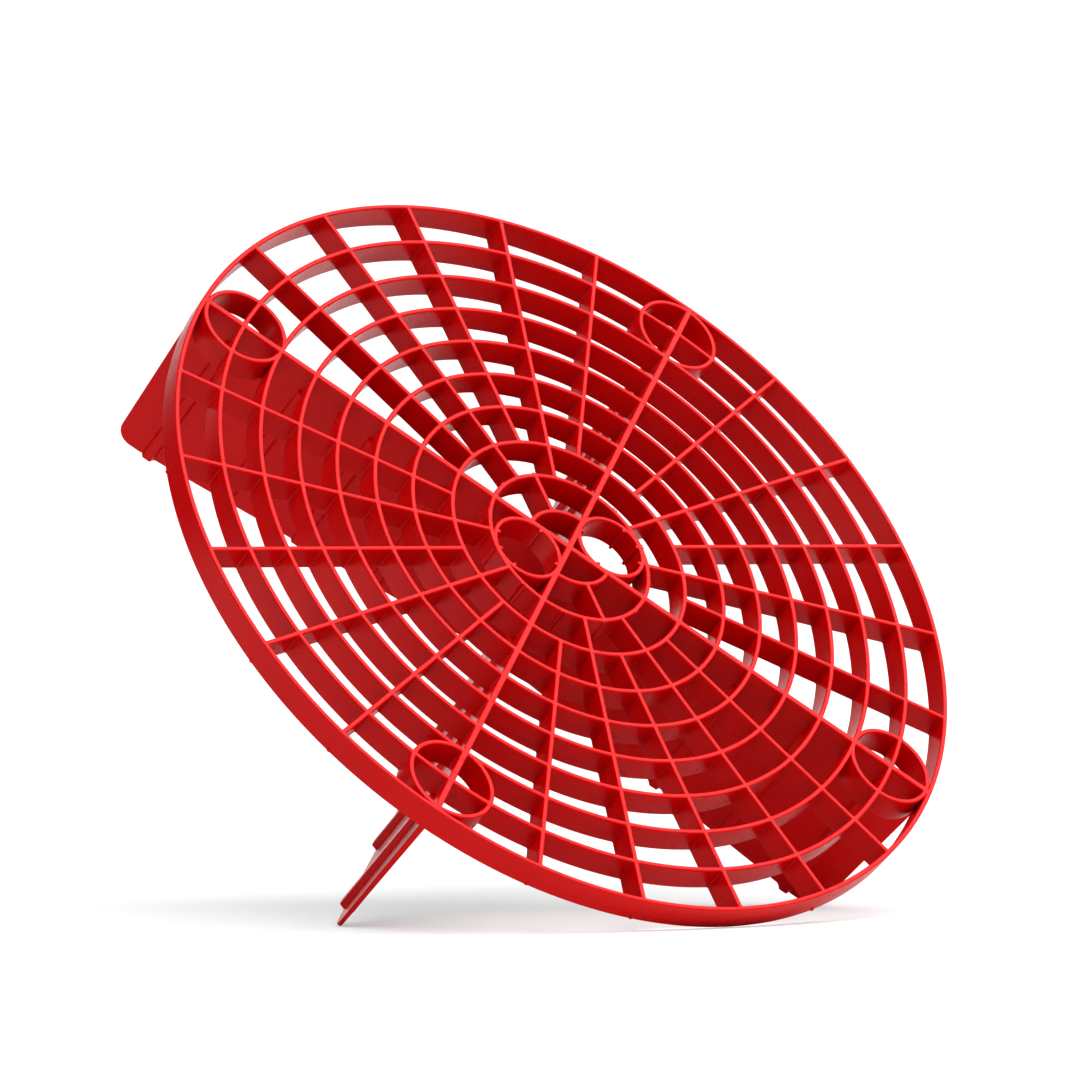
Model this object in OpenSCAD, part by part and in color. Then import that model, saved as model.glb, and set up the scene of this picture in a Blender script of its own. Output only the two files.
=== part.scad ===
// Round bucket insert: a flat grille of rings and spokes on four upright vanes.
// It stands on the vane feet in a wash bucket and keeps grit below the grille.
// Origin: centre of the footprint, on the surface the feet stand on. +Z is up.
// +X and +Y run along the two full-width ribs that the vanes hang from.
// The real insert is one moulding. Each node is one of its features, and the
// features meet face to face: spokes run through, and rings are arcs between them.

/* [Overall] */
// Outside diameter of the rim
outer_d = 260; // [259:0.5:264]
// Height from the vane feet to the top of the grille
overall_h = 62.5; // [50:0.5:90]
// Depth of the grille, from its top face to its underside
grille_h = 8.7; // [6:0.1:14]
// Colour of the moulding
moulding_colour = "#c8161d"; // ["#c8161d":Red, "#1d4f9e":Blue, "#1c1c1e":Black]

/* [Rim, rings and spokes] */
// Wall thickness of the rim
rim_wall = 1.5; // [1:0.1:2.5]
// Wall thickness of the rings and spokes
wall = 1.5; // [1:0.1:2]
// Thickness of the two full-width ribs
main_rib_wall = 2; // [1.6:0.1:3]

/* [Sockets and finger holes] */
// Distance of each socket's axis from the inside of the rim
socket_inset = 13.4; // [13.3:0.05:13.5]
// Inner radius of a socket
socket_bore_r = 12.15; // [12.1:0.05:12.3]
// Distance of each finger hole's axis from both full-width ribs
finger_centre = 11.05; // [11:0.05:11.15]
// Inner radius of a finger hole
finger_bore_r = 10; // [9:0.1:10]
// How far the grip nubs stand out of the finger hole's wall
nub_h = 0.9; // [0.5:0.1:1.2]
// Width of a grip nub
nub_w = 1.2; // [0.8:0.1:2]

/* [Vanes] */
// Thickness of the vanes under the grille
vane_wall = 1.9; // [1.4:0.1:1.9]
// Thickness of the vanes at the feet
vane_foot_wall = 1.2; // [1:0.1:1.4]
// Gap between the vanes' outer edge and the outside of the rim, under the grille
vane_gap = 0.5; // [0.5:0.5:3]
// The same gap at the feet
vane_foot_gap = 2.7; // [2.5:0.1:6]
// Radius of the rounded outer foot corner
foot_corner_r = 5.5; // [3:0.5:8]
// Length of the flat foot that the vane stands on
foot_flat = 3.3; // [2:0.1:10]
// How far the vanes' lower edge climbs from the feet to the centre
foot_rise = 12; // [2:0.5:20]
// How far a scrubbing ridge stands out of the vane's face
ridge_h = 1.4; // [0.8:0.1:2]
// Width of a scrubbing ridge at its root
ridge_root_w = 4.2; // [3:0.1:5]
// Width of a scrubbing ridge at its crest
ridge_crest_w = 2.6; // [1:0.1:2.8]

/* [Hidden] */
$fn = 128;
// Radii of rings 1 to 8 and of the hub ring, at the middle of their walls
ring_radii = [115.5, 102.3, 89.8, 77.35, 64.85, 52.4, 39.15, 26.65, 13.4];
ring_count = len(ring_radii);
spoke_step = 15;
hub_spoke_angles = [135, 315];
nub_angles = [-38, 0, 38, 142, 218];
ridge_rings = [1, 3, 5, 7];
// Overlap of the cutting tools past the surface that they cut
past = 1;
rim_r = outer_d / 2;
rim_inner_r = rim_r - rim_wall;
grille_z = overall_h - grille_h;
socket_centre_r = rim_inner_r - socket_inset;
socket_outer_r = socket_bore_r + wall;
finger_outer_r = finger_bore_r + wall;
finger_hole_r = finger_centre * sqrt(2);
hub_ring_r = ring_radii[ring_count - 1];
vane_reach = rim_r - vane_gap;
foot_corner_x = rim_r - vane_foot_gap - foot_corner_r;
foot_x = foot_corner_x - foot_flat;

// Radius of ring n at the middle of its wall, counted inwards from the rim
function ring_r(n) = ring_radii[n - 1];

// Height of the vanes' lower edge at a radius inside the flat foot
function lower_edge_z(r) = foot_rise * (foot_x - r) / foot_x;

// Point where the line from p touches a circle, on the line's right-hand side of the centre
function touch_point(p, centre, r) =
    let(
        d = centre - p,
        turn = atan2(d[1], d[0]) + asin(r / norm(d)),
        reach = sqrt(d * d - r * r)
    )
    p + reach * [cos(turn), sin(turn)];

// A spoke ends on ring 7 when its angle is an odd multiple of the step, else on ring 8
function spoke_inner_r(angle) =
    (angle / spoke_step) % 2 == 1 ? ring_r(7) + wall / 2 : ring_r(8) + wall / 2;

// The shapes below stand on the grille's underside. As cutting tools they are made
// taller than the grille by extra at both ends, so that they cut right through it.

module disc(radius, extra = 0) {
    translate([0, 0, -extra])
        cylinder(h = grille_h + 2 * extra, r = radius);
}

module tube(outer_r, inner_r, extra = 0) {
    difference() {
        disc(outer_r, extra);
        disc(inner_r, extra + past);
    }
}

// Bar across the grille along +X, from radius r1 to radius r2, with ends that fit round walls
module radial_bar(thickness, r1, r2, extra = 0) {
    intersection() {
        translate([0, -thickness / 2, -extra])
            cube([r2 + past, thickness, grille_h + 2 * extra]);
        tube(r2, r1, extra + past);
    }
}

// Bar right across the grille along X, out to the rim's outer face
module full_width_bar(extra = 0) {
    reach = rim_r + extra + past;
    intersection() {
        translate([-reach, -main_rib_wall / 2, -extra])
            cube([2 * reach, main_rib_wall, grille_h + 2 * extra]);
        disc(rim_r + extra, extra + past);
    }
}

module spoke_bar(angle, extra = 0) {
    rotate([0, 0, angle])
        radial_bar(wall, spoke_inner_r(angle), rim_r + extra, extra);
}

// The two finger holes as solid plugs that fill them out to their outer wall
module finger_plugs() {
    for (side = [-1, 1])
        translate([side * finger_centre, side * finger_centre, 0])
            disc(finger_outer_r, past);
}

module ring_tube(n, extra = 0) {
    tube(ring_r(n) + wall / 2, ring_r(n) - wall / 2, extra);
}

// Every spoke and both ribs, as one cutting tool
module all_bars() {
    for (angle = [0 : spoke_step : 359])
        if (angle % 90 != 0)
            spoke_bar(angle, past);
    for (angle = [0, 90])
        rotate([0, 0, angle])
            full_width_bar(past);
}

// The rim is the arcs between the bars, whose outer ends complete it
module outer_rim() {
    color(moulding_colour)
        translate([0, 0, grille_z])
            difference() {
                tube(rim_r, rim_inner_r);
                all_bars();
            }
}

module ring(n) {
    color(moulding_colour)
        translate([0, 0, grille_z])
            difference() {
                ring_tube(n);
                all_bars();
                finger_plugs();
            }
}

// The smallest ring is two quarter arcs, in the quarters that hold no finger hole
module hub_ring() {
    reach = hub_ring_r + 2 * past;
    near = main_rib_wall / 2;
    color(moulding_colour)
        translate([0, 0, grille_z])
            for (turn = [90, 270])
                rotate([0, 0, turn])
                    intersection() {
                        ring_tube(ring_count);
                        translate([near, near, -past])
                            cube([reach, reach, grille_h + 2 * past]);
                    }
}

module main_rib_x() {
    color(moulding_colour)
        translate([0, 0, grille_z])
            difference() {
                full_width_bar();
                finger_plugs();
            }
}

// The second full-width rib is cut where the first one crosses it
module main_rib_y() {
    color(moulding_colour)
        translate([0, 0, grille_z])
            difference() {
                rotate([0, 0, 90])
                    full_width_bar();
                full_width_bar(past);
                finger_plugs();
            }
}

module spoke(angle) {
    color(moulding_colour)
        translate([0, 0, grille_z])
            spoke_bar(angle);
}

module hub_spokes() {
    color(moulding_colour)
        translate([0, 0, grille_z])
            for (angle = hub_spoke_angles)
                rotate([0, 0, angle])
                    radial_bar(wall, hub_ring_r + wall / 2, ring_r(8) - wall / 2);
}

// Round socket near the rim, quartered by the full-width rib and by ring 1
module socket(angle) {
    color(moulding_colour)
        translate([0, 0, grille_z])
            rotate([0, 0, angle])
                difference() {
                    intersection() {
                        translate([socket_centre_r, 0, 0])
                            tube(socket_outer_r, socket_bore_r);
                        disc(rim_inner_r, past);
                    }
                    ring_tube(1, past);
                    disc(ring_r(2) + wall / 2, past);
                    full_width_bar(past);
                }
}

module finger_hole(angle) {
    color(moulding_colour)
        translate([0, 0, grille_z])
            rotate([0, 0, angle])
                translate([finger_hole_r, 0, 0])
                    tube(finger_outer_r, finger_bore_r);
}

// Small upright nubs on the finger hole's wall, which stop a wet finger from slipping
module grip_nubs(angle) {
    color(moulding_colour)
        translate([0, 0, grille_z])
            rotate([0, 0, angle])
                translate([finger_hole_r, 0, 0])
                    for (nub_angle = nub_angles)
                        rotate([0, 0, nub_angle])
                            intersection() {
                                translate([finger_bore_r - nub_h, -nub_w / 2, 0])
                                    cube([nub_h + past, nub_w, grille_h]);
                                disc(finger_bore_r, past);
                            }
}

// Long upright wedge along X, thick under the grille and thin at the feet
module vane_taper(x1, x2, extra = 0) {
    lean = (vane_wall - vane_foot_wall) / 2 / grille_z;
    low = vane_foot_wall / 2 - lean * extra;
    high = vane_wall / 2 + lean * extra;
    translate([x1, 0, 0])
        rotate([90, 0, 90])
            linear_extrude(height = x2 - x1)
                polygon([
                    [-low, -extra],
                    [low, -extra],
                    [high, grille_z + extra],
                    [-high, grille_z + extra]
                ]);
}

// Side view of a vane, from the centre out to its flat foot and rounded corner
module vane_side() {
    top = [vane_reach, grille_z];
    corner = [foot_corner_x, foot_corner_r];
    rotate([90, 0, 0])
        translate([0, 0, -vane_wall]) {
            linear_extrude(height = 2 * vane_wall)
                polygon([
                    [0, foot_rise],
                    [foot_x, 0],
                    [foot_corner_x, 0],
                    touch_point(top, corner, foot_corner_r),
                    top,
                    [0, grille_z]
                ]);
            translate([corner[0], corner[1], 0])
                cylinder(h = 2 * vane_wall, r = foot_corner_r);
        }
}

// Upright plate that tapers towards its foot
module vane(angle) {
    color(moulding_colour)
        rotate([0, 0, angle])
            intersection() {
                vane_side();
                vane_taper(0, rim_r, past);
            }
}

// A vane of the second pair ends on the faces of the first pair
module crossing_vane(angle) {
    color(moulding_colour)
        difference() {
            vane(angle);
            vane_taper(-past - vane_wall, past + vane_wall, 2 * past);
        }
}

// Upright scrubbing ridges on both faces of a vane, one pair under every other ring.
// Each one starts inside the vane's thickness, and the vane is cut out of it.
module ridges(angle) {
    color(moulding_colour)
        rotate([0, 0, angle])
            difference() {
                for (n = ridge_rings)
                    for (side = [-1, 1])
                        translate([ring_r(n), 0, lower_edge_z(ring_r(n))])
                            linear_extrude(height = grille_z - lower_edge_z(ring_r(n)))
                                polygon([
                                    [-ridge_root_w / 2, side * vane_foot_wall / 4],
                                    [ridge_root_w / 2, side * vane_foot_wall / 4],
                                    [ridge_root_w / 2, side * vane_foot_wall / 2],
                                    [ridge_crest_w / 2, side * (vane_wall / 2 + ridge_h)],
                                    [-ridge_crest_w / 2, side * (vane_wall / 2 + ridge_h)],
                                    [-ridge_root_w / 2, side * vane_foot_wall / 2]
                                ]);
                vane_taper(0, rim_r, 2 * past);
            }
}

outer_rim();
ring(1);  // ring_1
ring(2);  // ring_2
ring(3);  // ring_3
ring(4);  // ring_4
ring(5);  // ring_5
ring(6);  // ring_6
ring(7);  // ring_7
ring(8);  // ring_8
hub_ring();
main_rib_x();
main_rib_y();
spoke(15);  // spoke_015
spoke(30);  // spoke_030
spoke(45);  // spoke_045
spoke(60);  // spoke_060
spoke(75);  // spoke_075
spoke(105);  // spoke_105
spoke(120);  // spoke_120
spoke(135);  // spoke_135
spoke(150);  // spoke_150
spoke(165);  // spoke_165
spoke(195);  // spoke_195
spoke(210);  // spoke_210
spoke(225);  // spoke_225
spoke(240);  // spoke_240
spoke(255);  // spoke_255
spoke(285);  // spoke_285
spoke(300);  // spoke_300
spoke(315);  // spoke_315
spoke(330);  // spoke_330
spoke(345);  // spoke_345
hub_spokes();
socket(0);  // socket_right
socket(90);  // socket_back
socket(180);  // socket_left
socket(270);  // socket_front
finger_hole(45);  // finger_hole_right
finger_hole(225);  // finger_hole_left
grip_nubs(45);  // grip_nubs_right
grip_nubs(225);  // grip_nubs_left
vane(0);  // vane_right
crossing_vane(90);  // vane_back
vane(180);  // vane_left
crossing_vane(270);  // vane_front
ridges(0);  // ridges_right
ridges(90);  // ridges_back
ridges(180);  // ridges_left
ridges(270);  // ridges_front
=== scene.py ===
"""A round bucket insert, moulded in one piece: grille, rim, vanes and scrubbing ridges in red plastic.

Every moulded feature replaces the plain CAD node of the same feature, in metres, in the CAD's own frame.
"""
from math import acos, asin, atan2, ceil, cos, degrees, hypot, pi, radians, sin, tan

import bmesh
import bpy
from mathutils import Matrix, Vector


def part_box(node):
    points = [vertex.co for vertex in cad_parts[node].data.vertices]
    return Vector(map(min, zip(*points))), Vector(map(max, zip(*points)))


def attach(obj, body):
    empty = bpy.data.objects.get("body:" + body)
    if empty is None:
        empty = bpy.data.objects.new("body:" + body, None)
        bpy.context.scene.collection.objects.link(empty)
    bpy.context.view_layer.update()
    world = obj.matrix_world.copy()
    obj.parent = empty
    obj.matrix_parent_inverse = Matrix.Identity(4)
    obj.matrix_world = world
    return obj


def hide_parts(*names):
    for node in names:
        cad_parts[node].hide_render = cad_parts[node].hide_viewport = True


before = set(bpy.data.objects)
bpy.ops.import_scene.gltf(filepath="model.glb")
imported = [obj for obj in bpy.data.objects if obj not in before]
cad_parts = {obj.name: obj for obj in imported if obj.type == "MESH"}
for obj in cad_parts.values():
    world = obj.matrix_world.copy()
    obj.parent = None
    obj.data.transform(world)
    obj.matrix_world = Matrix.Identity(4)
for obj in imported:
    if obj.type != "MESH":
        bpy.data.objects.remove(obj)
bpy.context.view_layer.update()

MM = 0.001

# ---------------------------------------------------------------- sizes read from the frame

def radii(node, centre=(0.0, 0.0)):
    """Smallest and largest distance of a node's points from an upright axis."""
    spans = [hypot(v.co.x - centre[0], v.co.y - centre[1]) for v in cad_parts[node].data.vertices]
    return min(spans), max(spans)


def half_width(node, angle, below=float("inf")):
    """How far a node's points lie at most from the upright plane at this angle, up to a height.

    For a radial bar or a vane this is half its thickness, and for ridges it is where their crests are.
    """
    points = [v.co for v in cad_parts[node].data.vertices if v.co.z < below]
    return max(abs(p.y * cos(angle) - p.x * sin(angle)) for p in points)


def lower_edge_rise():
    """Height of a vane's lower edge at the middle of the insert."""
    near_middle = 1 * MM
    return min(v.co.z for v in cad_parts["vane_right"].data.vertices if v.co.x < near_middle)


RIM_INNER, RIM_OUTER = radii("outer_rim")
GRILLE_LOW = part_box("outer_rim")[0].z
GRILLE_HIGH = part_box("outer_rim")[1].z
RING_NODES = sorted(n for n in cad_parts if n.startswith("ring_"))
RING_RADII = {n: radii(n) for n in RING_NODES}
HUB_INNER, HUB_OUTER = radii("hub_ring")
RIB_HALF = half_width("main_rib_x", 0.0)
SPOKE_NODES = sorted(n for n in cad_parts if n.startswith("spoke_"))
SPOKE_HALF = half_width("spoke_045", radians(45))
VANE_TOP_HALF = half_width("vane_right", 0.0)
VANE_FOOT_HALF = half_width("vane_right", 0.0, below=0.5 * MM)
LOWER_EDGE_RISE = lower_edge_rise()

# Where the vanes, and the ribs and sockets above them, stand round the grille, in degrees
VANE_ANGLES = {"right": 0.0, "back": 90.0, "left": 180.0, "front": 270.0}
HUB_SPOKE_ANGLES = (135, 315)
FINGER_SIDES = ("right", "left")

# ---------------------------------------------------------------- moulding details

# Rounding of the walls' upper and lower edges, and of the corners where bars cross
CREST_R = 0.42 * MM
FOOT_R = 0.18 * MM
FILLET_R = 0.25 * MM
CORNER_STEPS = 4
FOOT_STEPS = 3
# Most walls are drawn in by this much at their lower edge, so that the moulding leaves the mould
DRAFT = 0.16 * MM
# The flat lands stand this far under the CAD's top, which leaves room for the gate marks
LAND_DROP = 0.12 * MM
# Bars run this far into the walls that they end at
INTO_WALL = 0.4 * MM
# How far a socket's outer wall runs into the rim's wall
SOCKET_OVERLAP = 0.25 * MM
# The full-width ribs reach this far into the vanes below them
RIB_SINK = 0.02 * MM

# Tops of the bars step down by this much from one family to the next, so that no two faces coincide.
# The two ribs cross at the middle, so they differ as well.
LAYER = 0.012 * MM
RIM_LAYER = 0
RIB_LAYERS = {"main_rib_x": 1, "main_rib_y": 1.5}
RING_LAYER = 2
SPOKE_LAYER = 3
SOCKET_LAYER = 4
FINGER_HOLE_LAYER = 5
NUB_LAYER = 6


def arc(start, end, steps):
    """Angles from start to end in equal steps, both ends included."""
    return [start + (end - start) * k / steps for k in range(steps + 1)]


def wall_profile(low, high, foot_r=FOOT_R, crest_r=CREST_R, draft=DRAFT):
    """(inset, height) pairs up a wall: rounded foot edge, drafted face, rounded crest edge."""
    foot = [(draft + foot_r * (1 - sin(a)), low + foot_r * (1 - cos(a)))
            for a in arc(0, pi / 2, FOOT_STEPS)]
    crest = [(crest_r * (1 - cos(a)), high - crest_r * (1 - sin(a)))
             for a in arc(0, pi / 2, CORNER_STEPS)]
    return foot + crest


def bar_profile(layer):
    """The section of one family of bars: the layer number sets how far its two faces are pulled in."""
    return wall_profile(GRILLE_LOW + layer * LAYER, GRILLE_HIGH - LAND_DROP - layer * LAYER)


def rib_profile(layer):
    """The two full-width ribs run straight into the vanes below them, with no foot edge."""
    low = GRILLE_LOW - RIB_SINK - layer * LAYER
    high = GRILLE_HIGH - LAND_DROP - layer * LAYER
    return wall_profile(low, high, foot_r=0.0, draft=RIB_HALF - VANE_TOP_HALF)


# ---------------------------------------------------------------- mesh building

# Points closer than this become one point
MERGE_DISTANCE = 0.0005 * MM
# Edges that turn by more than this stay sharp
SHARP_TURN = radians(32)
# Longest stretch between two sections of a straight bar, the same along a ring, and a ring's largest turn
BAR_STEP = 6 * MM
ARC_STEP = 3 * MM
LARGEST_TURN = radians(3)
HUB_ARC_STEPS = 40
# The rim is the largest ring and is cut finer, and the small sockets coarser
RIM_TURN = radians(1.5)
SOCKET_TURN = radians(4)


def loft(bm, sections, closed):
    """Joins closed sections of equal point count with quads. An open loft gets a face at each end."""
    rows = [[bm.verts.new(p) for p in section] for section in sections]
    pairs = list(zip(rows, rows[1:])) + ([(rows[-1], rows[0])] if closed else [])
    for one, two in pairs:
        for k in range(len(one)):
            after = (k + 1) % len(one)
            bm.faces.new((one[k], one[after], two[after], two[k]))
    if not closed:
        bm.faces.new(list(reversed(rows[0])))
        bm.faces.new(rows[-1])


def wall_section(inner, inner_out, outer, outer_out, profile):
    """One cross-section of an upright bar. The _out vectors point out of the material, level."""
    up = [(inner - inner_out * inset).to_3d() + Vector((0, 0, z)) for inset, z in profile]
    down = [(outer - outer_out * inset).to_3d() + Vector((0, 0, z)) for inset, z in reversed(profile)]
    return up + down


def flare_side(radius, sign, radial, along, swing, phase, present):
    """A point on a bar's side and its outward direction, widened where a fillet runs into a crossing bar.

    phase is the angle round the fillet, from 0 at the crossing bar to 90 degrees at the plain wall.
    """
    if phase is None or not present:
        return radial * radius, radial * sign
    extra = FILLET_R * (1 - sin(phase))
    out = radial * (sign * sin(phase)) + along * (swing * cos(phase))
    return radial * (radius + sign * extra), out


def fillet_stations(radius, bar):
    """(angle, swing, phase, bar) across one bar that meets a ring, in order of angle."""
    stations = []
    for swing in (-1, 1):
        phases = arc(pi / 2, 0, CORNER_STEPS) if swing < 0 else arc(0, pi / 2, CORNER_STEPS)
        for phase in phases:
            offset = bar["half"] + FILLET_R * (1 - cos(phase))
            stations.append((bar["angle"] + swing * asin(offset / radius), swing, phase, bar))
    return stations


def ring_stations(radius, bars, step):
    """(angle, swing, phase, bar) round a ring: the fillets of its bars, and plain stations between bars."""
    if not bars:
        count = ceil(2 * pi / step)
        return [(2 * pi * k / count, 0, None, None) for k in range(count)]
    stations = []
    for bar in sorted(bars, key=lambda b: b["angle"]):
        stations += fillet_stations(radius, bar)
    filled = []
    ahead_of_each = stations[1:] + [(stations[0][0] + 2 * pi,) + stations[0][1:]]
    for here, ahead in zip(stations, ahead_of_each):
        filled.append(here)
        gap = ahead[0] - here[0]
        between_bars = here[3] is not ahead[3]
        if between_bars or gap > step:
            count = ceil(gap / step)
            filled += [(here[0] + gap * k / count, 0, None, None) for k in range(1, count)]
    return filled


def ring_sections(centre, inner_r, outer_r, bars, profile, step, limit=None):
    """Sections round a tube whose walls flare into the bars that cross or meet them.

    limit(point) may pull a side's point back into the moulding, as at a wall that the tube runs into.
    """
    made = []
    for angle, swing, phase, bar in ring_stations((inner_r + outer_r) / 2, bars, step):
        radial = Vector((cos(angle), sin(angle)))
        along = Vector((-sin(angle), cos(angle)))
        inside = bool(bar and bar["inside"])
        outside = bool(bar and bar["outside"])
        inner, inner_out = flare_side(inner_r, -1, radial, along, swing, phase, inside)
        outer, outer_out = flare_side(outer_r, 1, radial, along, swing, phase, outside)
        inner, outer = inner + centre, outer + centre
        if limit:
            inner, outer = limit(inner), limit(outer)
        made.append(wall_section(inner, inner_out, outer, outer_out, profile))
    return made


def straight_sections(start, end, angle, half, profile):
    """Sections along a straight radial bar."""
    along = Vector((cos(angle), sin(angle)))
    side = Vector((-sin(angle), cos(angle)))
    count = max(1, ceil((end - start) / BAR_STEP))
    made = []
    for k in range(count + 1):
        middle = along * (start + (end - start) * k / count)
        made.append(wall_section(middle - side * half, -side, middle + side * half, side, profile))
    return made


def new_piece(bm, node):
    """Makes one visible piece out of a mesh, standing for the CAD node it details."""
    bmesh.ops.remove_doubles(bm, verts=bm.verts, dist=MERGE_DISTANCE)
    bmesh.ops.recalc_face_normals(bm, faces=bm.faces)
    mesh = bpy.data.meshes.new("moulded_" + node)
    bm.to_mesh(mesh)
    bm.free()
    mesh.shade_smooth()
    mesh.set_sharp_from_angle(angle=SHARP_TURN)
    mesh.materials.append(PLASTIC)
    piece = bpy.data.objects.new("moulded_" + node, mesh)
    bpy.context.scene.collection.objects.link(piece)
    weighted = piece.modifiers.new("weighted_normals", "WEIGHTED_NORMAL")
    weighted.keep_sharp = True
    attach(piece, "root")
    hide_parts(node)


# ---------------------------------------------------------------- material

DEEP_RED = (0.55, 0.0006, 0.0014, 1)
LIGHT_RED = (0.62, 0.0010, 0.0020, 1)
SMOOTHEST = 0.24
ROUGHEST = 0.34
REFRACTIVE_INDEX = 1.49
# The surface mirrors less than the index alone would give, which brings the walls nearer to the
# photograph's deep red
MIRROR_LEVEL = 0.2
# Most of a noise's values lie between these two
NOISE_LOW = 0.3
NOISE_HIGH = 0.7


def empty_tree(owner):
    """Turns on the nodes of a material or a world and clears them. Gives its nodes and links."""
    owner.use_nodes = True
    owner.node_tree.nodes.clear()
    return owner.node_tree.nodes, owner.node_tree.links


def plastic_material():
    """Semi-gloss red polypropylene with a faintly uneven moulded skin."""
    material = bpy.data.materials.new("red_polypropylene")
    nodes, links = empty_tree(material)
    output = nodes.new("ShaderNodeOutputMaterial")
    shader = nodes.new("ShaderNodeBsdfPrincipled")
    links.new(shader.outputs["BSDF"], output.inputs["Surface"])
    place = nodes.new("ShaderNodeTexCoord")

    def noise(scale, detail, roughness=0.5):
        node = nodes.new("ShaderNodeTexNoise")
        node.inputs["Scale"].default_value = scale
        node.inputs["Detail"].default_value = detail
        node.inputs["Roughness"].default_value = roughness
        links.new(place.outputs["Object"], node.inputs["Vector"])
        return node.outputs["Fac"]

    def spread(source, low, high):
        node = nodes.new("ShaderNodeMapRange")
        node.inputs["From Min"].default_value = NOISE_LOW
        node.inputs["From Max"].default_value = NOISE_HIGH
        node.inputs["To Min"].default_value = low
        node.inputs["To Max"].default_value = high
        links.new(source, node.inputs["Value"])
        return node.outputs["Result"]

    def bump(height, strength, distance, over=None):
        node = nodes.new("ShaderNodeBump")
        node.inputs["Strength"].default_value = strength
        node.inputs["Distance"].default_value = distance
        links.new(height, node.inputs["Height"])
        if over is not None:
            links.new(over, node.inputs["Normal"])
        return node.outputs["Normal"]

    tint = nodes.new("ShaderNodeMix")
    tint.data_type = "RGBA"
    tint.inputs["A"].default_value = DEEP_RED
    tint.inputs["B"].default_value = LIGHT_RED
    links.new(spread(noise(scale=28, detail=3), 0, 1), tint.inputs["Factor"])
    links.new(tint.outputs["Result"], shader.inputs["Base Color"])

    smears = noise(scale=75, detail=4, roughness=0.6)
    links.new(spread(smears, SMOOTHEST, ROUGHEST), shader.inputs["Roughness"])

    skin = bump(noise(scale=1100, detail=2), strength=0.35, distance=0.01 * MM)
    waves = bump(noise(scale=110, detail=1), strength=0.5, distance=0.03 * MM, over=skin)
    links.new(waves, shader.inputs["Normal"])
    shader.inputs["IOR"].default_value = REFRACTIVE_INDEX
    shader.inputs["Specular IOR Level"].default_value = MIRROR_LEVEL
    return material


PLASTIC = plastic_material()

# ---------------------------------------------------------------- where bars meet rings

def crossing(angle_deg, half, inside=True, outside=True):
    """A bar that crosses or meets a ring's wall, and the sides that it meets."""
    return {"angle": radians(angle_deg) % (2 * pi), "half": half, "inside": inside, "outside": outside}


def spoke_angle(node):
    """A spoke's angle in degrees, which is the end of its name."""
    return int(node[-3:])


def bars_across(inner_r, outer_r):
    """The ribs and spokes at a ring with these wall radii, and the sides of its wall that they run past.

    Every spoke runs past the innermost ring's outer wall, also those that start one ring further out.
    These leave a low pad on that wall.
    """
    found = [crossing(turn, RIB_HALF) for turn in VANE_ANGLES.values()]
    least_past = 1 * MM
    for node in SPOKE_NODES:
        start, end = radii(node)
        inside = start < inner_r - least_past
        outside = end > outer_r + least_past
        if inside or outside:
            found.append(crossing(spoke_angle(node), SPOKE_HALF, inside, outside))
    return found


def socket_place(name):
    """Centre and mid-wall radius of a socket. Its node's box is as wide across the rib as the socket."""
    low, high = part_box("socket_" + name)
    turn = radians(VANE_ANGLES[name])
    across = (high.x - low.x) if abs(sin(turn)) > 0.5 else (high.y - low.y)
    outer_r = across / 2
    centre = Vector((cos(turn), sin(turn))) * (RIM_INNER + SOCKET_OVERLAP - outer_r)
    return centre, outer_r - SPOKE_HALF


def sockets_across(ring_r):
    """Where the socket tubes cross the ring that runs through them."""
    found = []
    for name, turn in VANE_ANGLES.items():
        centre, tube_r = socket_place(name)
        away = centre.length
        swing = degrees(acos((ring_r**2 + away**2 - tube_r**2) / (2 * ring_r * away)))
        found += [crossing(turn + swing, SPOKE_HALF), crossing(turn - swing, SPOKE_HALF)]
    return found


# ---------------------------------------------------------------- the rim

# Angles of the witness lines at the front. The back of the rim has the same, half a turn on.
FRONT_SEAMS = (210, 240, 255, 285, 300, 330)


def make_rim():
    bm = bmesh.new()
    bars = bars_across(RIM_INNER, RIM_OUTER)
    # Every bar ends in the rim's wall, so it meets only the inner side
    for bar in bars:
        bar["inside"], bar["outside"] = True, False
    sections = ring_sections(Vector((0, 0)), RIM_INNER, RIM_OUTER, bars, bar_profile(RIM_LAYER), RIM_TURN)
    loft(bm, sections, True)
    for turn in FRONT_SEAMS + tuple(t - 180 for t in FRONT_SEAMS):
        rim_seam(bm, radians(turn))
    new_piece(bm, "outer_rim")


def rim_seam(bm, angle):
    """A faint upright witness line on the rim's outer wall, with a small proud pip at its lower end."""
    line_low, line_high = GRILLE_LOW + 0.4 * MM, GRILLE_HIGH - 0.7 * MM
    pip_low, pip_high = GRILLE_LOW + 0.05 * MM, GRILLE_LOW + 1.3 * MM
    rim_strip(bm, angle, line_low, line_high, proud=0.07 * MM, half=0.35 * MM)
    rim_strip(bm, angle, pip_low, pip_high, proud=0.5 * MM, half=0.55 * MM)


def rim_strip(bm, angle, low, high, proud, half):
    """An upright strip with a round face on the rim's drafted outer wall. It stands out less at its ends.

    The strip's back and the edges of its face lie inside the wall.
    """
    back_sunk = 0.3 * MM
    face_sunk = 0.02 * MM
    along = Vector((cos(angle), sin(angle), 0))
    side = Vector((-sin(angle), cos(angle), 0))
    rows = []
    for z, share in ((low, 0.5), (low + 0.15 * MM, 0.9), (low + 0.35 * MM, 1.0),
                     (high - 0.5 * MM, 1.0), (high - 0.15 * MM, 0.5), (high, 0.0)):
        skin = RIM_OUTER - DRAFT * (GRILLE_HIGH - z) / (GRILLE_HIGH - GRILLE_LOW)
        row = [along * (skin - back_sunk) - side * half, along * (skin - back_sunk) + side * half]
        row += [along * (skin - face_sunk + proud * share * cos(a)) + side * (half * sin(a))
                for a in arc(pi / 2, -pi / 2, 6)]
        rows.append([p + Vector((0, 0, z)) for p in row])
    loft(bm, rows, False)


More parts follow.
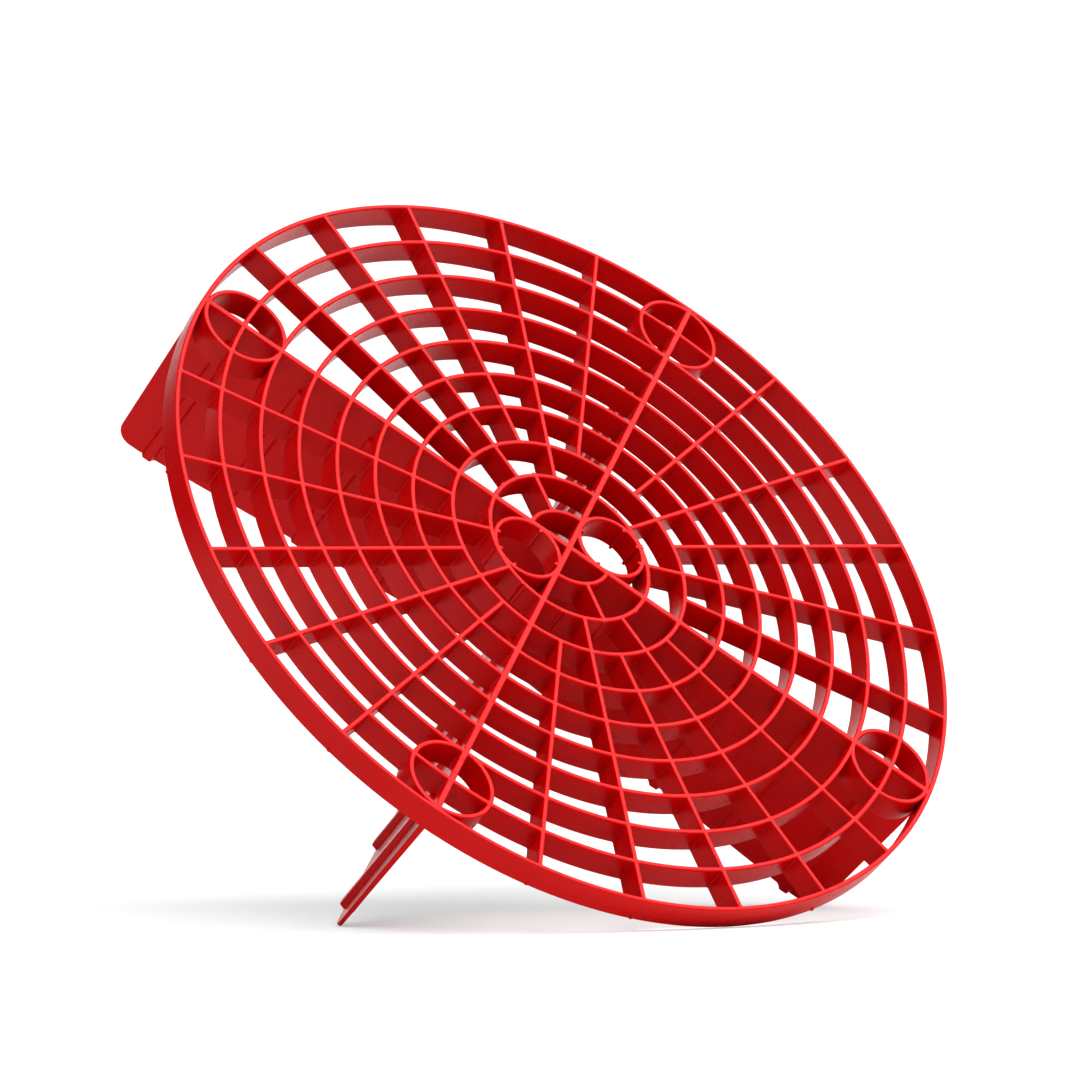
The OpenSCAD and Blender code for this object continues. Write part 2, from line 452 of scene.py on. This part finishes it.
# ---------------------------------------------------------------- rings, ribs and spokes

def make_rings():
    """The outermost ring also runs through the sockets, and the innermost one meets the hub spokes."""
    for node, (inner_r, outer_r) in RING_RADII.items():
        bars = bars_across(inner_r, outer_r)
        if node == RING_NODES[0]:
            bars += sockets_across((inner_r + outer_r) / 2)
        if node == RING_NODES[-1]:
            meet_hub_spokes(bars)
        step = min(LARGEST_TURN, ARC_STEP / outer_r)
        bm = bmesh.new()
        sections = ring_sections(Vector((0, 0)), inner_r, outer_r, bars, bar_profile(RING_LAYER), step)
        loft(bm, sections, True)
        new_piece(bm, node)


def meet_hub_spokes(bars):
    """Marks the innermost ring's bars in line with the hub spokes, which meet its wall from inside."""
    for bar in bars:
        if round(degrees(bar["angle"])) in HUB_SPOKE_ANGLES:
            bar["inside"] = True


# Gate marks and small bumps on the lands of the two ribs: x, y and radius
RIB_MARKS = {
    "main_rib_x": [(104.6 * MM, 0.1 * MM, 0.5 * MM)],
    "main_rib_y": [(0.0, 77.2 * MM, 0.8 * MM), (0.0, -77.2 * MM, 0.8 * MM),
                   (0.2 * MM, -105.8 * MM, 0.55 * MM)],
}


def mark(bm, place, radius):
    """A low round bump that stands on a rib's land, under the CAD's top."""
    low = GRILLE_HIGH - LAND_DROP - 0.1 * MM
    high = GRILLE_HIGH - 0.01 * MM
    rows = []
    for share, rise in ((1.0, 0.0), (1.0, 0.5), (0.9, 0.75), (0.65, 0.93), (0.3, 1.0)):
        z = low + (high - low) * rise
        rows.append([place + Vector((radius * share * cos(a), radius * share * sin(a), z))
                     for a in arc(0, 2 * pi, 16)[:-1]])
    loft(bm, rows, False)


def make_ribs():
    reach = RIM_INNER + INTO_WALL
    for node, turn in (("main_rib_x", 0.0), ("main_rib_y", 90.0)):
        bm = bmesh.new()
        profile = rib_profile(RIB_LAYERS[node])
        loft(bm, straight_sections(-reach, reach, radians(turn), RIB_HALF, profile), False)
        for x, y, radius in RIB_MARKS[node]:
            mark(bm, Vector((x, y, 0)), radius)
        new_piece(bm, node)


def add_spoke(bm, start, end, angle_deg):
    """A thin radial bar between two radii, which runs into the walls at its ends."""
    sections = straight_sections(start - INTO_WALL, end + INTO_WALL, radians(angle_deg), SPOKE_HALF,
                                 bar_profile(SPOKE_LAYER))
    loft(bm, sections, False)


def make_spokes():
    for node in SPOKE_NODES:
        start, end = radii(node)
        bm = bmesh.new()
        add_spoke(bm, start, min(end, RIM_INNER), spoke_angle(node))
        new_piece(bm, node)
    start, end = radii("hub_spokes")
    bm = bmesh.new()
    for turn in HUB_SPOKE_ANGLES:
        add_spoke(bm, start, end, turn)
    new_piece(bm, "hub_spokes")


def make_hub_ring():
    """Two quarter arcs, in the quarters without a finger hole. Their ends lie inside the ribs."""
    bm = bmesh.new()
    for turn in (90, 270):
        made = []
        for angle in arc(radians(turn), radians(turn + 90), HUB_ARC_STEPS):
            radial = Vector((cos(angle), sin(angle)))
            made.append(wall_section(radial * HUB_INNER, -radial, radial * HUB_OUTER, radial,
                                     bar_profile(RING_LAYER)))
        loft(bm, made, False)
    new_piece(bm, "hub_ring")


# ---------------------------------------------------------------- sockets

def make_sockets():
    ring_inner, _ = RING_RADII["ring_2"]
    stop_r = ring_inner + 0.3 * MM

    def stop_in_ring(point):
        """Pulls a point that has gone through the second ring's wall back into it."""
        return point * (stop_r / point.length) if point.length < stop_r else point

    for name, turn in VANE_ANGLES.items():
        centre, tube_r = socket_place(name)
        away = centre.length
        ring_r = sum(RING_RADII["ring_1"]) / 2
        swing = degrees(acos((ring_r**2 - away**2 - tube_r**2) / (2 * away * tube_r)))
        bars = [crossing(turn, RIB_HALF, True, False), crossing(turn + 180, RIB_HALF, True, False)]
        bars += [crossing(turn + swing, SPOKE_HALF), crossing(turn - swing, SPOKE_HALF)]
        bm = bmesh.new()
        sections = ring_sections(centre, tube_r - SPOKE_HALF, tube_r + SPOKE_HALF, bars,
                                 bar_profile(SOCKET_LAYER), SOCKET_TURN, stop_in_ring)
        loft(bm, sections, True)
        new_piece(bm, "socket_" + name)


# ---------------------------------------------------------------- finger holes and nubs

# Where the nubs stand round a finger hole, in degrees from the side away from the grille's middle
NUB_ANGLES = (-38, 0, 38, 142, 218)
NUB_HALF = 0.6 * MM
NUB_NOSE = 0.45 * MM
NUB_ROOT = 0.5 * MM


def finger_hole_centre(name):
    low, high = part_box("finger_hole_" + name)
    return Vector(((low.x + high.x) / 2, (low.y + high.y) / 2))


def make_finger_holes():
    for name in FINGER_SIDES:
        node = "finger_hole_" + name
        centre = finger_hole_centre(name)
        inner_r, outer_r = radii(node, centre)
        profile = bar_profile(FINGER_HOLE_LAYER)
        bm = bmesh.new()
        loft(bm, ring_sections(centre, inner_r, outer_r, [], profile, LARGEST_TURN), True)
        new_piece(bm, node)


def nub_plan(wall_r, nose_r):
    """A nub seen from above, as (distance from the hole's centre, sideways), with its root in the wall."""
    plan = [(wall_r + NUB_ROOT, -NUB_HALF), (wall_r, -NUB_HALF)]
    plan += [(nose_r + NUB_NOSE - NUB_NOSE * sin(a), -NUB_HALF * cos(a)) for a in arc(0, pi, 8)]
    return plan + [(wall_r, NUB_HALF), (wall_r + NUB_ROOT, NUB_HALF)]


def make_nubs():
    """Upright fins with a rounded nose on the finger holes' walls, level with the walls at the foot."""
    low = GRILLE_LOW + FINGER_HOLE_LAYER * LAYER
    high = GRILLE_HIGH - LAND_DROP - NUB_LAYER * LAYER
    profile = wall_profile(low, high, foot_r=0.1 * MM, crest_r=0.25 * MM, draft=0.1 * MM)
    for name in FINGER_SIDES:
        centre = finger_hole_centre(name)
        wall_r, _ = radii("finger_hole_" + name, centre)
        nose_r, _ = radii("grip_nubs_" + name, centre)
        outward = atan2(centre.y, centre.x)
        bm = bmesh.new()
        for turn in NUB_ANGLES:
            radial = Vector((cos(outward + radians(turn)), sin(outward + radians(turn))))
            side = Vector((-radial.y, radial.x))
            rows = []
            for inset, z in profile:
                row = []
                for away, sideways in nub_plan(wall_r, nose_r):
                    out = away + inset if away < wall_r else away
                    point = centre + radial * out + side * (sideways * (1 - inset / NUB_HALF))
                    row.append(point.to_3d() + Vector((0, 0, z)))
                rows.append(row)
            loft(bm, rows, False)
        new_piece(bm, "grip_nubs_" + name)


# ---------------------------------------------------------------- vanes and ridges

FOOT_CORNER_R = 5.5 * MM
FOOT_FLAT = 3.3 * MM
FOOT_REACH = RIM_OUTER - 2.7 * MM
VANE_EDGE_R = 0.3 * MM

# Every second ring has a ridge under it, on both faces of the vane
RIDGED_RINGS = ("ring_1", "ring_3", "ring_5", "ring_7")
RIDGE_ROOT = 4.2 * MM
RIDGE_CREST = 2.6 * MM
RIDGE_NOSE_R = 0.35 * MM
RIDGE_TOE = 0.3 * MM
# How far a ridge reaches into the vane, and into the grille above it
RIDGE_SINK = 0.4 * MM
RIDGE_RISE = 0.3 * MM


def lower_edge(radius):
    """Height of a vane's lower edge between the middle of the insert and the vane's flat foot."""
    foot_start = FOOT_REACH - FOOT_CORNER_R - FOOT_FLAT
    return LOWER_EDGE_RISE * (foot_start - radius) / foot_start


def vane_outline(reach, inset):
    """The vane's side view as (out from the centre, up), pulled in by inset along its free edges."""
    corner_x = FOOT_REACH - FOOT_CORNER_R
    small = FOOT_CORNER_R - inset
    points = [(0.0, LOWER_EDGE_RISE + inset), (corner_x - FOOT_FLAT, inset)]
    points += [(corner_x + small * sin(a), FOOT_CORNER_R - small * cos(a)) for a in arc(0, pi / 2, 12)]
    points += [(reach - inset, GRILLE_LOW), (0.0, GRILLE_LOW)]
    return points


def vane_half(z):
    """Half the vane's thickness at a height. It tapers towards the feet."""
    return VANE_FOOT_HALF + (VANE_TOP_HALF - VANE_FOOT_HALF) * z / GRILLE_LOW


def make_vanes():
    """Each vane is lofted from one face to the other, round the rounded edge between them."""
    edge = VANE_EDGE_R
    layers = [(-1, edge * (1 - sin(a)), edge * (1 - cos(a))) for a in arc(0, pi / 2, 4)]
    layers += [(1, inset, drop) for _, inset, drop in reversed(layers)]
    for name, turn in VANE_ANGLES.items():
        node = "vane_" + name
        angle = radians(turn)
        along = Vector((cos(angle), sin(angle), 0))
        side = Vector((-sin(angle), cos(angle), 0))
        _, reach = radii(node)
        bm = bmesh.new()
        sections = []
        for face, inset, drop in layers:
            outline = vane_outline(reach, inset)
            sections.append([along * r + side * face * (vane_half(z) - drop) + Vector((0, 0, z))
                             for r, z in outline])
        loft(bm, sections, False)
        new_piece(bm, node)


def ridge_plan(height):
    """A ridge's outline seen from above: (along the vane, out of its face). Its halves are mirror images."""
    toe = RIDGE_TOE
    slope = atan2(height, (RIDGE_ROOT - RIDGE_CREST) / 2)
    points = [(RIDGE_ROOT / 2 + toe, -RIDGE_SINK), (RIDGE_ROOT / 2 + toe, 0.0)]
    points += [(RIDGE_ROOT / 2 + toe * (1 - t) ** 2 - t**2 * toe * cos(slope), t**2 * toe * sin(slope))
               for t in (0.33, 0.66, 1.0)]
    nose_start = RIDGE_CREST / 2 - RIDGE_NOSE_R * tan(slope / 2)
    for a in arc(0, slope, 3):
        left = slope - a
        points.append((nose_start + RIDGE_NOSE_R * sin(left), height - RIDGE_NOSE_R * (1 - cos(left))))
    return points + [(-x, y) for x, y in reversed(points)]


def ridge_rows(middle, crest_y, along, side):
    """Sections up one ridge. Its crest keeps its distance from the middle of the tapering vane."""
    crest_starts = 0.5 * MM
    rows = []
    for inset, z in wall_profile(lower_edge(middle), GRILLE_LOW + RIDGE_RISE,
                                 foot_r=0.35 * MM, crest_r=0.05 * MM, draft=0.0):
        root_y = vane_half(z)
        row = []
        for x, y in ridge_plan(crest_y - root_y):
            out = y - inset if y > crest_starts else y
            row.append(along * (middle + x * (1 - inset / RIDGE_CREST)) + side * (root_y + out)
                       + Vector((0, 0, z)))
        rows.append(row)
    return rows


def make_ridges():
    for name, turn in VANE_ANGLES.items():
        node = "ridges_" + name
        angle = radians(turn)
        along = Vector((cos(angle), sin(angle), 0))
        side = Vector((-sin(angle), cos(angle), 0))
        crest_y = half_width(node, angle)
        bm = bmesh.new()
        for ring in RIDGED_RINGS:
            middle = sum(RING_RADII[ring]) / 2
            for face in (-1, 1):
                loft(bm, ridge_rows(middle, crest_y, along, side * face), False)
        new_piece(bm, node)


make_rim()
make_rings()
make_ribs()
make_spokes()
make_hub_ring()
make_sockets()
make_finger_holes()
make_nubs()
make_vanes()
make_ridges()

# ---------------------------------------------------------------- the tilted floor

# The insert leans on its rim and on the corners of two vanes, so the floor is tilted in the part's frame
LEAN = radians(52.055)
DOWNHILL = Vector((1, -1, 0)).normalized()
floor_up = Vector((0, 0, 1)) * cos(LEAN) - DOWNHILL * sin(LEAN)
rim_contact = DOWNHILL * RIM_OUTER + Vector((0, 0, GRILLE_LOW))
floor_level = floor_up.dot(rim_contact)
floor_along = Vector((1, 1, 0)).normalized()
floor_across = floor_up.cross(floor_along)

# The floor reaches this far each way, in metres
FLOOR_HALF = 3.0
# What the floor gives back to the camera and adds as a glow there, and what it gives back to the object.
# The glow is a little short of red, which evens out the red light that the object throws on the floor.
FLOOR_SEEN = (0.52, 0.5, 0.5, 1)
FLOOR_GLOW = (0.33, 0.38, 0.38, 1)
FLOOR_BOUNCE = (0.76, 0.76, 0.76, 1)


def floor_material():
    """Pale matt floor that exists only from above. The camera sees softer shadows than the object feels."""
    material = bpy.data.materials.new("studio_floor")
    nodes, links = empty_tree(material)

    def matt(colour):
        node = nodes.new("ShaderNodeBsdfDiffuse")
        node.inputs["Color"].default_value = colour
        return node.outputs["BSDF"]

    def mix(factor, zero, one):
        node = nodes.new("ShaderNodeMixShader")
        links.new(factor, node.inputs["Fac"])
        links.new(zero, node.inputs[1])
        links.new(one, node.inputs[2])
        return node.outputs["Shader"]

    glow = nodes.new("ShaderNodeEmission")
    glow.inputs["Color"].default_value = FLOOR_GLOW
    seen = nodes.new("ShaderNodeAddShader")
    links.new(matt(FLOOR_SEEN), seen.inputs[0])
    links.new(glow.outputs["Emission"], seen.inputs[1])
    ray = nodes.new("ShaderNodeLightPath")
    above = mix(ray.outputs["Is Camera Ray"], matt(FLOOR_BOUNCE), seen.outputs["Shader"])
    below = nodes.new("ShaderNodeBsdfTransparent")
    side = nodes.new("ShaderNodeNewGeometry")
    output = nodes.new("ShaderNodeOutputMaterial")
    links.new(mix(side.outputs["Backfacing"], above, below.outputs["BSDF"]), output.inputs["Surface"])
    return material


def make_floor():
    middle = floor_up * floor_level
    corners = [(-FLOOR_HALF, -FLOOR_HALF), (FLOOR_HALF, -FLOOR_HALF),
               (FLOOR_HALF, FLOOR_HALF), (-FLOOR_HALF, FLOOR_HALF)]
    mesh = bpy.data.meshes.new("studio_floor")
    points = [middle + floor_along * x + floor_across * y for x, y in corners]
    mesh.from_pydata(points, [], [(0, 1, 2, 3)])
    mesh.materials.append(floor_material())
    floor = bpy.data.objects.new("studio_floor", mesh)
    bpy.context.scene.collection.objects.link(floor)


make_floor()

# ---------------------------------------------------------------- light

# The camera looks this far round from floor_along
HEADING = radians(51.851)
WORLD_LIGHT = 0.07
# Strength of the bright backdrop that the gloss shows behind the object. It fades in between these
# two cosines of the angle from the camera's heading.
BACKDROP_GLOSS = 1.0
BACKDROP_FADES = 0.78
BACKDROP_FULL = 0.97


def level_direction(turn):
    """A level direction over the tilted floor, this far round from floor_along."""
    return floor_along * cos(turn) + floor_across * sin(turn)


def make_world():
    """Plain white behind the object. As a light it is dim, but the gloss shows it as a bright backdrop."""
    world = bpy.data.worlds.new("white_studio")
    nodes, links = empty_tree(world)

    def calculate(operation, one, two):
        node = nodes.new("ShaderNodeMath")
        node.operation = operation
        for socket, value in ((node.inputs[0], one), (node.inputs[1], two)):
            if isinstance(value, float):
                socket.default_value = value
            else:
                links.new(value, socket)
        return node.outputs[0]

    place = nodes.new("ShaderNodeTexCoord")
    towards = nodes.new("ShaderNodeVectorMath")
    towards.operation = "DOT_PRODUCT"
    towards.inputs[1].default_value = level_direction(HEADING)
    links.new(place.outputs["Generated"], towards.inputs[0])
    backdrop = nodes.new("ShaderNodeMapRange")
    backdrop.inputs["From Min"].default_value = BACKDROP_FADES
    backdrop.inputs["From Max"].default_value = BACKDROP_FULL
    backdrop.inputs["To Max"].default_value = BACKDROP_GLOSS
    links.new(towards.outputs["Value"], backdrop.inputs["Value"])
    ray = nodes.new("ShaderNodeLightPath")
    gloss = calculate("MULTIPLY", ray.outputs["Is Glossy Ray"], backdrop.outputs["Result"])
    felt = calculate("ADD", gloss, WORLD_LIGHT)
    strength = calculate("MAXIMUM", felt, ray.outputs["Is Camera Ray"])
    background = nodes.new("ShaderNodeBackground")
    background.inputs["Color"].default_value = (1, 1, 1, 1)
    links.new(strength, background.inputs["Strength"])
    output = nodes.new("ShaderNodeOutputWorld")
    links.new(background.outputs["Background"], output.inputs["Surface"])
    bpy.context.scene.world = world


def far_light(name, heading, height, spread, strength):
    """A very soft, very distant light, which lights the whole floor evenly. Its angles are in degrees."""
    rise = radians(height)
    towards_light = level_direction(radians(heading)) * cos(rise) + floor_up * sin(rise)
    data = bpy.data.lights.new(name, "SUN")
    data.angle = radians(spread)
    data.energy = strength
    lamp = bpy.data.objects.new(name, data)
    lamp.rotation_mode = "QUATERNION"
    lamp.rotation_quaternion = (-towards_light).to_track_quat("-Z", "Y")
    bpy.context.scene.collection.objects.link(lamp)


make_world()
far_light("overhead_light", heading=256, height=60, spread=60, strength=3.5)
far_light("side_light", heading=-18, height=50, spread=44, strength=1.2)
bpy.context.scene.view_settings.view_transform = "Standard"
bpy.context.scene.view_settings.look = "Medium High Contrast"

# ---------------------------------------------------------------- camera

# Blender's lens and sensor sizes are in millimetres, as plain numbers
LENS = 233.2
SENSOR_WIDTH = 36
CLIP_NEAR = 0.1
CLIP_FAR = 20
PITCH = radians(-0.578)
ROLL = radians(0.266)
DISTANCE = 2.0525
# The camera aims this far right of (minus is left) and above the middle of the grille's top
AIM_RIGHT = -8.9 * MM
AIM_UP = 1.9 * MM


def make_camera():
    forward = level_direction(HEADING) * cos(PITCH) + floor_up * sin(PITCH)
    right = forward.cross(floor_up).normalized()
    up = right.cross(forward)
    rolled_right = right * cos(ROLL) + up * sin(ROLL)
    rolled_up = up * cos(ROLL) - right * sin(ROLL)
    grille_centre = Vector((0, 0, GRILLE_HIGH))
    aim = grille_centre + rolled_right * AIM_RIGHT + rolled_up * AIM_UP
    data = bpy.data.cameras.new("photo_camera")
    data.sensor_width = SENSOR_WIDTH
    data.lens = LENS
    data.clip_start = CLIP_NEAR
    data.clip_end = CLIP_FAR
    camera = bpy.data.objects.new("photo_camera", data)
    turn = Matrix((rolled_right, rolled_up, -forward)).transposed()
    camera.matrix_world = Matrix.Translation(aim - forward * DISTANCE) @ turn.to_4x4()
    bpy.context.scene.collection.objects.link(camera)
    bpy.context.scene.camera = camera


make_camera()
